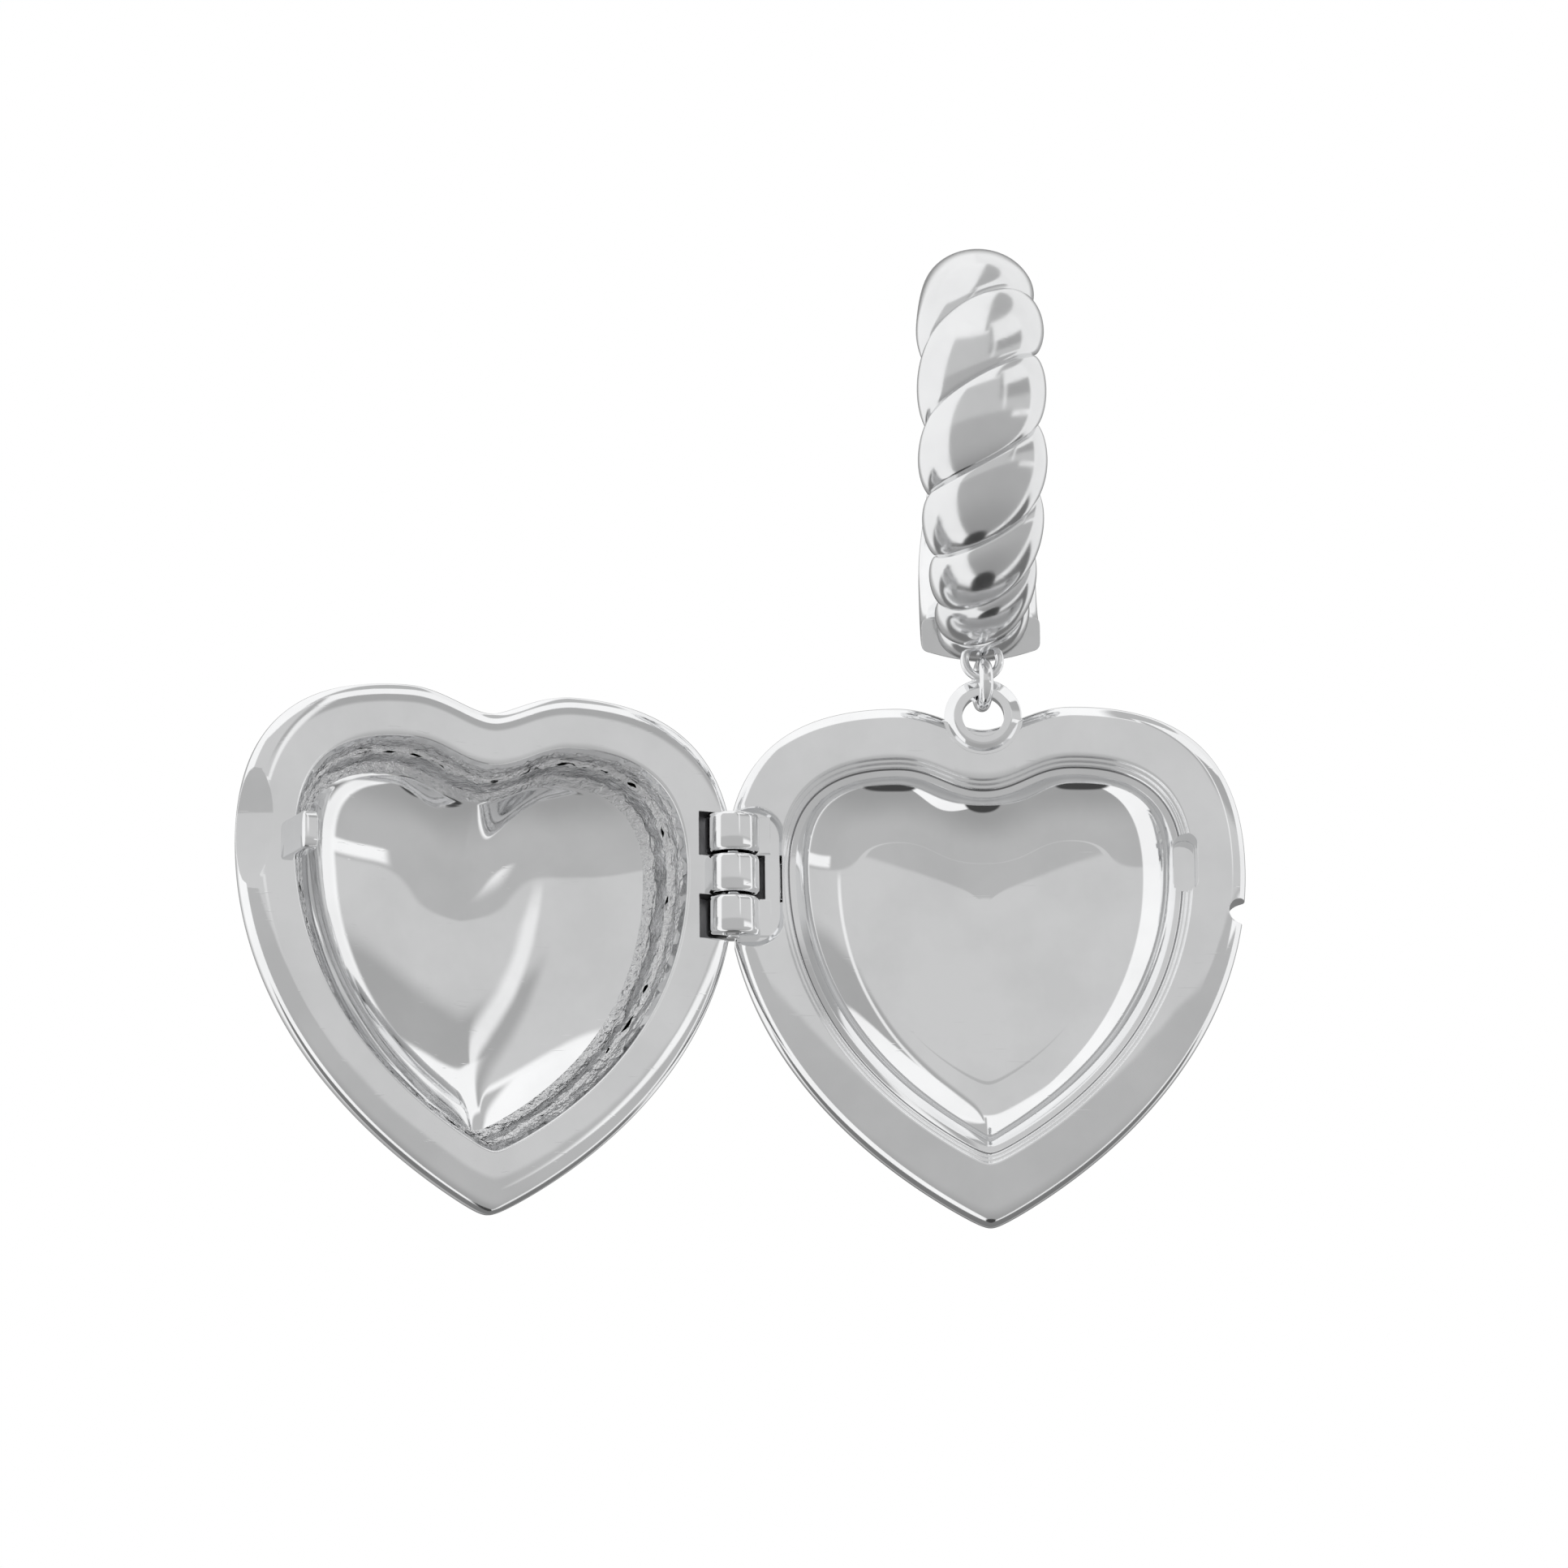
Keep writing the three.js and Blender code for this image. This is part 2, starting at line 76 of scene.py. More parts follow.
LUG_RADIUS, LUG_WIRE, LUG_BOTTOM = 0.6, 0.15, 0.71
RING_RADIUS, RING_WIRE = 0.7, 0.24
RING_TURN = math.radians(10)  # out of the hoop's plane
BAIL_HEIGHT, BAIL_HOLE, BAIL_OUTER, BAIL_HALF = 17.6, 0.72, 1.33, 0.27
BAIL_BEVEL, BAIL_BEHIND_RIM = 0.34, 0.3
BAIL_SEAT, BAIL_SEAT_DEPTH = 1.36, 0.25

HEART_HALF_WIDTH = 8.9
HEART_WIDEST = 12.2
HEART_TOP = 17.98
HEART_CLEFT = 17.2
LOBE_TOP_X = 3.0
TIP_SLOPE = math.radians(28)
TIP_ROUNDING = 0.16
TIP_RADIUS = 0.3
SIDE_HANDLES = (6.78, 4.73)
LOBE_HANDLES = (4.6, 3.2)
CLEFT_HANDLES = (1.3, 0.75)
CLEFT_WIDENING = 0.2  # of the cleft's bottom, for each millimetre of inset
DOME_CENTRE = 11.3
RIM_GAP = 0.05
BEND_FROM = 9  # below this height the back half curves to the back,
BACK_BEND = 0.0055  # by this times the square of the distance below it
RIDGE_HEIGHTS, RIDGE_HALF_WIDTH = (10.4, 14.8), 3.4  # of the valley or ridge below the cleft
OUTLINE_STEPS = (72, 48, 30)  # on the side, the lobe and the cleft of half a heart

HINGE_REACH = 8.65
HINGE_MIDDLE = 12.05
KNUCKLE_RADIUS, KNUCKLE_LENGTH, KNUCKLE_GAP = 0.93, 1.36, 0.08
SLOT_IN_BACK, SLOT_IN_COVER = 1.14, 1.2
WEB_REACH, WEB_DEPTHS, WEB_INSET = 1.3, (0.15, 0.75), 0.05
PIN_RADIUS, PIN_EDGE = 0.26, 0.06
OPEN_ANGLE = math.radians(22)
TRIM_GAP = 0.04  # what is cut off the shells inside the hinge's axis
LATCH_HEIGHT = 12.4
LATCH_INSET, LATCH_HALF, LATCH_PROUD, LATCH_ROOT = 1.78, 0.65, 1.15, 1.3
LATCH_LAYERS = ((0, 0.93), (0.04, 0.99), (0.1, 1), (0.4, 1), (0.46, 0.99), (0.5, 0.93))  # (x, size)
SLOT_LOW, SLOT_HIGH, SLOT_CORNER, SLOT_DEPTH, SLOT_SLOPE = (6.42, 11.4), (7.24, 13.4), 0.36, 1.3, 0.04
PLATE_LOW, PLATE_HIGH, PLATE_CORNER, PLATE_DEPTH, PLATE_SLOPE = (-12, 9.6), (-6.85, 14.5), 1.1, 0.28, 0.2
NAIL_RADIUS, NAIL_X, NAIL_HEIGHT = 0.42, 8.7, 10.7
SCOOP_RADIUS, SCOOP_REACH, SCOOP_DEPTH, SCOOP_HEIGHT = 7.0, 1.1, 0.8, 12.9

LENS, SENSOR = 180, 36
FRAME_WIDTH = 53.67
VIEW_FROM_TIP = Vector((-6.86, 0, 15.25))
ELEVATION, ROLL = math.radians(-12.5), math.radians(0.65)

# ------------------------------------------------------------------ places, from the CAD frame


def middle(name):
    low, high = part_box(name)
    return (Vector(low) + Vector(high)) / 2 / MM


pin_middle = middle("hinge_pin")
ring_middle = middle("jump_ring")
HOOP_Y = POST_RADIUS * math.cos(math.radians(POST_ANGLE))
HOOP_Z = -POST_RADIUS * math.sin(math.radians(POST_ANGLE))
HOOP_BOTTOM = HOOP_Z - HOOP_RADIUS
LOCKET_TIP = Vector((pin_middle.x + HINGE_REACH, pin_middle.y, pin_middle.z - HINGE_MIDDLE))
BACK_PLACE = Matrix.Translation(LOCKET_TIP)
COVER_PLACE = (
    Matrix.Translation((pin_middle.x, LOCKET_TIP.y, LOCKET_TIP.z))
    @ Matrix.Rotation(OPEN_ANGLE, 4, "Z")
    @ Matrix.Translation((-HINGE_REACH, 0, 0))
)

# ------------------------------------------------------------------ materials


def node(tree, kind, values=None, **settings):
    made = tree.nodes.new(kind)
    for name, value in settings.items():
        setattr(made, name, value)
    for socket, value in (values or {}).items():
        made.inputs[socket].default_value = value
    return made


def noise(tree, scale, detail=3.0, roughness=0.5, stretch=None):
    """A noise texture in the object's own coordinates, in cycles per millimetre."""
    place = node(tree, "ShaderNodeTexCoord")
    made = node(tree, "ShaderNodeTexNoise", {"Scale": scale / MM, "Detail": detail, "Roughness": roughness})
    if stretch:
        mapping = node(tree, "ShaderNodeMapping", {"Scale": stretch})
        tree.links.new(place.outputs["Object"], mapping.inputs["Vector"])
        tree.links.new(mapping.outputs["Vector"], made.inputs["Vector"])
    else:
        tree.links.new(place.outputs["Object"], made.inputs["Vector"])
    return made


def ramp(tree, source, low, high, start, end):
    """The source's value, moved from low..high to start..end."""
    values = {"From Min": low, "From Max": high, "To Min": start, "To Max": end}
    made = node(tree, "ShaderNodeMapRange", values)
    tree.links.new(source, made.inputs["Value"])
    return made.outputs["Result"]


def bump(tree, height, distance, strength, normal=None):
    made = node(tree, "ShaderNodeBump", {"Strength": strength, "Distance": distance * MM})
    tree.links.new(height, made.inputs["Height"])
    if normal:
        tree.links.new(normal, made.inputs["Normal"])
    return made.outputs["Normal"]


def metal(name, color, rough, dents, haze, scratches, grain=0.0):
    """Plated metal: soft edges, slow dents, fine scratches, and a cloudy variation of gloss and tone.

    dents, scratches and grain are heights in millimetres. haze is what the roughness varies by.
    """
    material = bpy.data.materials.new(name)
    material.use_nodes = True
    tree = material.node_tree
    shader = tree.nodes["Principled BSDF"]
    shader.inputs["Metallic"].default_value = 1.0
    clouds = noise(tree, scale=0.35, detail=4, roughness=0.55)
    tone = node(tree, "ShaderNodeMix", {}, data_type="RGBA")
    tone.inputs["A"].default_value = [*[c * DULL for c in color], 1]
    tone.inputs["B"].default_value = [*color, 1]
    tree.links.new(ramp(tree, clouds.outputs["Fac"], 0.35, 0.6, 0, 1), tone.inputs["Factor"])
    tree.links.new(tone.outputs["Result"], shader.inputs["Base Color"])
    wear = noise(tree, scale=2.2, detail=5, roughness=0.6)
    gloss = ramp(tree, wear.outputs["Fac"], 0.35, 0.75, rough, rough + haze)
    tree.links.new(gloss, shader.inputs["Roughness"])
    edges = node(tree, "ShaderNodeBevel", {"Radius": SOFT_EDGE * MM}, samples=4)
    slow = noise(tree, scale=0.3, detail=2, roughness=0.4)
    normal = bump(tree, slow.outputs["Fac"], dents, 1.0, edges.outputs["Normal"])
    fine = noise(tree, scale=3.0, detail=2, roughness=0.5, stretch=(0.12, 1.0, 2.6))
    line = ramp(tree, fine.outputs["Fac"], 0.66, 0.72, 0, 1)
    normal = bump(tree, line, scratches, 0.6, normal)
    if grain:
        pits = noise(tree, scale=3.4, detail=3, roughness=0.65)
        normal = bump(tree, pits.outputs["Fac"], grain, 1.0, normal)
    tree.links.new(normal, shader.inputs["Normal"])
    return material


DULL = 0.94  # the tone of the cloudy patches, as a share of the metal's own
SOFT_EDGE = 0.05
SILVER = (0.93, 0.934, 0.94)
TWIST_SILVER = (0.84, 0.844, 0.85)
WIRE_SILVER = (0.9, 0.904, 0.912)
CAST_SILVER = (0.84, 0.843, 0.85)
# A dark grey for the hinge slots' walls: painted shade in the narrow gaps round the knuckles, with some
# tarnish.
SLOT_TARNISH_AND_SHADE_GREY = (0.16, 0.16, 0.165)
# A dark grey for the step round the back's dish: a painted shade line along the dish's edge.
DISH_EDGE_SHADE_GREY = (0.3, 0.3, 0.305)
POLISHED = metal("polished_rhodium", SILVER, rough=0.025, dents=0.012, haze=0.04, scratches=0.0006)
SOFT = metal("soft_polished_rhodium", SILVER, rough=0.07, dents=0.02, haze=0.07, scratches=0.001)
TWIST = metal("twist_rhodium", TWIST_SILVER, rough=0.12, dents=0.03, haze=0.08, scratches=0.001)
WIRE = metal("wire_rhodium", WIRE_SILVER, rough=0.06, dents=0.008, haze=0.05, scratches=0.0006)
SLOT_TARNISH_AND_SHADE = metal("slot_tarnish_and_painted_shade", SLOT_TARNISH_AND_SHADE_GREY, rough=0.35, dents=0.02, haze=0.1, scratches=0.001, grain=0.02)
DISH_EDGE_SHADE = metal("dish_edge_painted_shade", DISH_EDGE_SHADE_GREY, rough=0.25, dents=0.02, haze=0.1, scratches=0.001)
CAST = metal("rough_cast_rhodium", CAST_SILVER, 0.14, dents=0.05, haze=0.12, scratches=0.001, grain=0.14)

# ------------------------------------------------------------------ meshes


def to_object(name, points, faces, materials, place=Matrix.Identity(4), marks=None):
    """A closed mesh from points in millimetres. marks gives each face's material number."""
    mesh = bpy.data.meshes.new(name)
    mesh.from_pydata([tuple(point) for point in points], [], faces)
    for material in materials:
        mesh.materials.append(material)
    if marks is not None:
        mesh.polygons.foreach_set("material_index", marks)
    mesh.transform(place)
    mesh.transform(Matrix.Scale(MM, 4))
    made = bpy.data.objects.new(name, mesh)
    bpy.context.scene.collection.objects.link(made)
    outward(mesh)
    return made


def outward(mesh):
    work = bmesh.new()
    work.from_mesh(mesh)
    bmesh.ops.recalc_face_normals(work, faces=work.faces)
    work.to_mesh(mesh)
    work.free()


def loft(name, rings, materials, place=Matrix.Identity(4), first=None, last=None, marks=None):
    """A closed skin over rings with equal numbers of points. marks gives each strip's material number."""
    rings = np.asarray(rings, float)
    strips, count = len(rings) - 1, len(rings[0])
    first = rings[0].mean(0) if first is None else first
    last = rings[-1].mean(0) if last is None else last
    points = np.concatenate([[first], rings.reshape(-1, 3), [last]])
    here = np.arange(count)
    after = (here + 1) % count
    faces = [(0, 1 + int(a), 1 + int(b)) for a, b in zip(here, after)]
    numbers = [marks[0] if marks else 0] * count
    for strip in range(strips):
        low = 1 + strip * count
        high = low + count
        faces += [(low + int(a), high + int(a), high + int(b), low + int(b)) for a, b in zip(here, after)]
        numbers += [marks[strip] if marks else 0] * count
    low = 1 + strips * count
    faces += [(len(points) - 1, low + int(b), low + int(a)) for a, b in zip(here, after)]
    numbers += [marks[-1] if marks else 0] * count
    return to_object(name, points, faces, materials, place, numbers)


def combine(target, tool, operation):
    """Cuts the tool out of the target or joins it on, and removes the tool."""
    modifier = target.modifiers.new("combine", "BOOLEAN")
    modifier.operation = operation
    modifier.solver = "EXACT"
    modifier.material_mode = "TRANSFER"
    modifier.object = tool
    tool.hide_render = True
    view = bpy.context.evaluated_depsgraph_get()
    view.update()
    mesh = bpy.data.meshes.new_from_object(target.evaluated_get(view))
    target.modifiers.clear()
    target.data = mesh
    bpy.data.objects.remove(tool)


def smooth_shade(target, angle):
    target.data.shade_smooth()
    target.data.set_sharp_from_angle(angle=math.radians(angle))


def rounded(corners, steps=6):
    """A polyline whose corners (x, y, radius) are rounded."""
    made = []
    for i, (x, y, radius) in enumerate(corners):
        here = np.array([x, y], float)
        if radius == 0 or i in (0, len(corners) - 1):
            made.append(here)
            continue
        before = np.array(corners[i - 1][:2], float) - here
        after = np.array(corners[i + 1][:2], float) - here
        start = here + before * min(radius / np.linalg.norm(before), 0.5)
        end = here + after * min(radius / np.linalg.norm(after), 0.5)
        for t in np.linspace(0, 1, steps):
            made.append((1 - t) ** 2 * start + 2 * t * (1 - t) * here + t * t * end)
    return np.array(made)


def turned(name, profile, materials, place, sides=96):
    """A body of revolution about its own Z from a closed (radius, height) profile that misses the axis."""
    angles = np.linspace(0, 2 * math.pi, sides, endpoint=False)
    points = [
        (radius * math.cos(a), radius * math.sin(a), height)
        for a in angles
        for radius, height in profile
    ]
    count = len(profile)
    faces = []
    for side in range(sides):
        other = (side + 1) % sides
        for i in range(count):
            j = (i + 1) % count
            faces.append((side * count + i, side * count + j, other * count + j, other * count + i))
    return to_object(name, points, faces, materials, place)


def peg(name, profile, materials, place, sides=64):
    """A solid of revolution about its own Z from an open (radius, height) profile, closed on the axis."""
    angles = np.linspace(0, 2 * math.pi, sides, endpoint=False)
    rings = [[(r * math.cos(a), r * math.sin(a), h) for a in angles] for r, h in profile]
    return loft(name, rings, materials, place)


def upright(radius, low, high, edge):
    """A cylinder's profile with rounded rims."""
    corners = [(0.001, low, 0), (radius, low, edge), (radius, high, edge), (0.001, high, 0)]
    return rounded(corners, 5)[1:-1]


def block(name, low, high, place):
    points = [(x, y, z) for x in (low[0], high[0]) for y in (low[1], high[1]) for z in (low[2], high[2])]
    faces = [(0, 1, 3, 2), (4, 6, 7, 5), (0, 4, 5, 1), (2, 3, 7, 6), (0, 2, 6, 4), (1, 5, 7, 3)]
    return to_object(name, points, faces, [POLISHED], place)


# ------------------------------------------------------------------ hoop


def step(low, high, value):
    t = np.clip((value - low) / (high - low), 0, 1)
    return t * t * (3 - 2 * t)


def hoop_point(angle, radius, x):
    a = np.radians(angle)
    return np.stack(
        [x + 0 * a, HOOP_Y - radius * np.cos(a) + 0 * x, HOOP_Z + radius * np.sin(a) + 0 * x], axis=-1
    )


def crease_count(angle):
    """How many creases lie between the first one and this angle."""
    way = (FIRST_CREASE - angle) / 100
    return 3.2 * way + (0.75 * way * way if way > 0 else 0)


def twist_ring(angle, shrink, points=44):
    """One ring round the twist. Its points follow the strands, so that each crease runs along an edge."""
    low, high = step(15, 100, -angle), step(30, 90, angle)
    width = TWIST_WIDTH - WIDTH_LOST_LOW * low - WIDTH_LOST_HIGH * high
    height = TWIST_HEIGHT - HEIGHT_LOST_LOW * low - HEIGHT_LOST_HIGH * high
    count = crease_count(angle)
    turn = 180 * (count + np.arange(2 * points) / points + 4)
    around = turn % 360 - 90
    strand = count - (around - 90) / 180
    part = strand - np.floor(strand)
    lobe = np.sqrt(np.clip(4 * part * (1 - part), 0, 1)) ** LOBE_POWER
    outside = step(-55, -15, 90 - np.abs(around - 90))
    share = shrink * (1 - CREASE_DEPTH * (1 - lobe) * outside * (strand >= -0.5))
    out = np.sin(np.radians(around))
    radius = HOOP_RADIUS - height + share * height * np.where(out > 0, out, FLAT_INSIDE * out)
    return hoop_point(angle, radius, share * width * np.cos(np.radians(around)))


def twisted_arc():
    rings = []
    for t in np.linspace(0.04, 0.98, 14):
        cap = TWIST_CAP * math.cos(t * math.pi / 2)
        rings.append(twist_ring(TWIST_ARC[0] + cap, math.sin(t * math.pi / 2)))
    for angle in np.linspace(*TWIST_ARC, 300):
        rings.append(twist_ring(angle, 1))
    return loft("hoop_twist", rings, [TWIST])


def band_ring(angle):
    half = BAND_WIDTH / 2 * (1 - BAND_TAPER * step(150, 208, -angle))
    inner = HOOP_RADIUS - BAND_THICKNESS
    side = HOOP_RADIUS - BAND_RIDGE
    corners = [
        (0, HOOP_RADIUS, 0),
        (0.55 * half, HOOP_RADIUS - 0.4 * BAND_RIDGE, 0.5),
        (half, side, 0.22),
        (half, inner, 0.3),
        (0, inner, 0),
    ]
    right = rounded(corners, 7)
    left = right[1:-1][::-1] * [-1, 1]
    outline = np.concatenate([right, left])
    return hoop_point(angle, outline[:, 1], outline[:, 0])


def hoop_band():
    return loft("hoop_band", [band_ring(angle) for angle in np.linspace(*BAND_ARC, 110)], [SOFT])


def tube(angle, radius, wire, points=32):
    turn = np.linspace(0, 2 * math.pi, points, endpoint=False)
    return hoop_point(angle, radius + wire * np.sin(turn), wire * np.cos(turn))


def ear_post():
    rings = [tube(angle, POST_RADIUS, POST_WIRE) for angle in np.linspace(*POST_ARC, 60)]
    return loft("post_wire", rings, [WIRE])


def wire_ring(name, radius, wire, materials, place, flat=1.0):
    turn = np.linspace(0, 2 * math.pi, 32, endpoint=False)
    profile = np.stack([radius + wire * np.cos(turn), flat * wire * np.sin(turn)], axis=1)
    return turned(name, profile, materials, place)


# ------------------------------------------------------------------ heart


def bezier(corners, t):
    a, b, c, d = (np.array(corner, float) for corner in corners)
    t = t[:, None]
    return (1 - t) ** 3 * a + 3 * (1 - t) ** 2 * t * b + 3 * (1 - t) * t * t * c + t ** 3 * d


def heart_outline(inset):
    """The heart outline moved inwards, as (x, z) points from the tip round the right side."""
    wide, top, cleft = HEART_HALF_WIDTH - inset, HEART_TOP - inset, HEART_CLEFT - inset
    tip = inset / math.cos(TIP_SLOPE)
    side_scale = (HEART_WIDEST - tip) / HEART_WIDEST
    lobe_wide = (wide - LOBE_TOP_X) / (HEART_HALF_WIDTH - LOBE_TOP_X)
    lobe_high = (top - HEART_WIDEST) / (HEART_TOP - HEART_WIDEST)
    start = tip - TIP_ROUNDING
    reach = SIDE_HANDLES[0] * side_scale
    side_steps, lobe_steps, cleft_steps = OUTLINE_STEPS
    side = bezier(
        [
            (0, start),
            (reach * math.cos(TIP_SLOPE), start + reach * math.sin(TIP_SLOPE)),
            (wide, HEART_WIDEST - SIDE_HANDLES[1] * side_scale),
            (wide, HEART_WIDEST),
        ],
        np.linspace(0, 1, side_steps) ** 1.3,
    )
    side[:, 1] += math.tan(TIP_SLOPE) * (np.sqrt(side[:, 0] ** 2 + TIP_RADIUS ** 2) - side[:, 0])
    lobe = bezier(
        [
            (wide, HEART_WIDEST),
            (wide, HEART_WIDEST + LOBE_HANDLES[0] * lobe_high),
            (LOBE_TOP_X + LOBE_HANDLES[1] * lobe_wide, top),
            (LOBE_TOP_X, top),
        ],
        np.linspace(0, 1, lobe_steps),
    )
    valley = bezier(
        [
            (LOBE_TOP_X, top),
            (LOBE_TOP_X - CLEFT_HANDLES[0], top),
            (CLEFT_HANDLES[1] + CLEFT_WIDENING * inset, cleft),
            (0, cleft),
        ],
        np.linspace(0, 1, cleft_steps),
    )
    right = np.concatenate([side, lobe[1:], valley[1:]])
    left = right[1:-1][::-1] * [-1, 1]
    return np.concatenate([right, left])


def dished(inset, depth, from_tilt, to_tilt, radius, steps=40):
    """A round hollow side in the profile, between two tilts of its surface."""
    tilts = np.radians(np.linspace(from_tilt, to_tilt, steps))
    across = inset + radius * (np.sin(tilts[0]) - np.sin(tilts))
    down = depth + radius * (np.cos(tilts) - np.cos(tilts[0]))
    return np.stack([across, down], axis=1)


def bend(height, amount):
    """How far the heart's lower end curves to the back."""
    return amount * np.clip(BEND_FROM - height, 0, None) ** 2


def flat_ring(inset, depth, bent):
    outline = heart_outline(inset)
    return np.stack([outline[:, 0], depth + bend(outline[:, 1], bent), outline[:, 1]], axis=1)


def as_cast(ring, random, size):
    """The ring with coarse, uneven grains that stand out of the wall and sink into it."""
    grain = random.normal(size=len(ring))
    grain = (grain + np.roll(grain, 1) + 0.5 * np.roll(grain, 2)) / 1.5
    centre = np.array([0, 0, DOME_CENTRE])
    inward = (centre - ring) * [1, 0, 1]
    inward /= np.linalg.norm(inward, axis=1)[:, None]
    return ring + size * grain[:, None] * (inward + [0, 0.8, 0])


def dome_ring(dome, scale, bent):
    """One ring of a puffed middle, with a valley that runs down from the cleft."""
    outline = heart_outline(dome["inset"])
    x = scale * outline[:, 0]
    z = DOME_CENTRE + scale * (outline[:, 1] - DOME_CENTRE)
    below = step(*RIDGE_HEIGHTS, z) * np.clip(1 - np.abs(x) / RIDGE_HALF_WIDTH, 0, 1) ** 2
    depth = dome["start"] + dome["rise"] * (1 - scale ** dome["power"]) * (1 - dome["cleft"] * below)
    return np.stack([x, depth + bend(z, bent), z], axis=1)


def dome_middle(dome):
    """The point that closes a dome, at the depth the dome has there."""
    below = step(*RIDGE_HEIGHTS, DOME_CENTRE)
    return (0, dome["start"] + dome["rise"] * (1 - dome["cleft"] * below), DOME_CENTRE)


def heart_shell(name, outside, profile, inside, place, materials, rough, bent):
    """A half of the locket. rough is the second material's least inset, range of depths and grain size; on
    the back it places a dark band of painted shade on the step at the dish's edge, on the cover the rough
    cast wall.
    """
    scales = np.linspace(0.015, 1, 40)
    rings = [dome_ring(outside, scale, bent) for scale in scales]
    rings += [flat_ring(inset, depth, bent) for inset, depth in profile]
    rings += [dome_ring(inside, scale, bent) for scale in scales[::-1]]
    low_inset, low_depth, high_depth, grain = rough
    marks = [0] * (len(rings) - 1)
    random = np.random.default_rng(7)
    for i, (inset, depth) in enumerate(profile):
        if inset > low_inset and low_depth < depth < high_depth:
            marks[len(scales) + i] = 1
            rings[len(scales) + i] = as_cast(rings[len(scales) + i], random, grain)
    return loft(name, rings, materials, place, dome_middle(outside), dome_middle(inside), marks)


BACK_DOME = {"inset": 1.3, "start": 2.2, "rise": 0.5, "cleft": 0.1, "power": 2}
BACK_FLOOR = {"inset": 4.47, "start": 1.7186, "rise": 0.12, "cleft": 0, "power": 2}
COVER_DOME = {"inset": 0.9, "start": 1.8, "rise": 2.5, "cleft": 0.4, "power": 2}
COVER_HOLLOW = {"inset": 2.75, "start": 2.05, "rise": 1.4, "cleft": 0.42, "power": 3.6}
# Where the dark grey goes on the back: the step at the dish's edge, as a painted shade line.
BACK_DISH_EDGE_SHADE = (2.14, 0.33, 0.42, 0)
COVER_CAST = (1.9, 0.3, 2.0, 0.035)

# Both profiles are (inset, depth, rounding) from the outer dome over the rim to the inner dome.
BACK_PROFILE = rounded(
    [
        (1.3, 2.2, 0),
        (0.62, 1.86, 0.5),
        (0.0, 1.3, 0.5),
        (0.0, RIM_GAP, 0.78),
        (1.84, RIM_GAP, 0.07),
        (1.88, 0.16, 0.03),
        (1.98, 0.17, 0.03),
        (2.02, 0.28, 0.03),
        (2.12, 0.3, 0.03),
        (2.17, 0.42, 0.05),
        (2.4, 0.5, 0),
    ]
)
BACK_PROFILE = np.concatenate([BACK_PROFILE, dished(2.4, 0.5, 58, 3, 2.6)[1:]])
COVER_PROFILE = rounded(
    [
        (0.9, 1.8, 0),
        (0.3, 1.4, 0.5),
        (0.0, 1.0, 0.4),
        (0.0, RIM_GAP, 0.78),
        (1.84, RIM_GAP, 0.07),
        (2.02, 0.42, 0.1),
        (2.1, 0.85, 0.1),
        (2.3, 0.95, 0.08),
        (2.42, 1.8, 0.1),
        (2.75, 2.05, 0),
    ]
)


def knuckle(name, level, materials, place, side):
    """One barrel of the hinge with the web that solders it to its shell."""
    half = KNUCKLE_LENGTH / 2
    z = HINGE_MIDDLE + level * (KNUCKLE_LENGTH + KNUCKLE_GAP)
    axis = Matrix.Translation((side * -HINGE_REACH, 0, z))
    barrel = peg(name, upright(KNUCKLE_RADIUS, -half, half, 0.2), materials, place @ axis, 96)
    web_low = (0, WEB_DEPTHS[0], -half + WEB_INSET)
    web_high = (side * WEB_REACH, WEB_DEPTHS[1], half - WEB_INSET)
    web = block("web", web_low, web_high, place @ axis)
    combine(barrel, web, "UNION")
    smooth_shade(barrel, 40)
    return barrel


def slot_cutter(level, radius, place, side):
    half = KNUCKLE_LENGTH / 2 + KNUCKLE_GAP
    z = HINGE_MIDDLE + level * (KNUCKLE_LENGTH + KNUCKLE_GAP)
    axis = Matrix.Translation((side * -HINGE_REACH, 0, z))
    # The cutter's dark grey passes to the slot walls it cuts: painted shade in the crevice, with some
    # tarnish.
    return peg("slot", upright(radius, -half, half, 0.02), [SLOT_TARNISH_AND_SHADE], place @ axis, 96)


def hole_cutter(radius, x, z, low, high, place):
    axis = Matrix.Translation((x, 0, z)) @ Matrix.Rotation(-math.pi / 2, 4, "X")
    return peg("hole", upright(radius, low, high, 0.02), [POLISHED], place @ axis, 96)


def rounded_pocket(name, low, high, corner, top, bottom, slope, place):
    """A pocket with round corners and sloping walls, cut from y = top down to y = bottom."""
    middle_x, middle_z = (low[0] + high[0]) / 2, (low[1] + high[1]) / 2
    half_x, half_z = (high[0] - low[0]) / 2, (high[1] - low[1]) / 2
    rings = []
    for y, shrink in ((top, 0.0), (RIM_GAP, 0.0), (bottom, slope)):
        radius = corner - shrink
        ring = []
        for quarter in range(4):
            diagonal = math.radians(90 * quarter + 45)
            corner_x = math.copysign(half_x - corner, math.cos(diagonal))
            corner_z = math.copysign(half_z - corner, math.sin(diagonal))
            for turn in np.linspace(0, 90, 12) + 90 * quarter:
                x = corner_x + radius * math.cos(math.radians(turn))
                z = corner_z + radius * math.sin(math.radians(turn))
                ring.append((middle_x + x, y, middle_z + z))
        rings.append(ring)
    return loft(name, rings, [POLISHED], place)


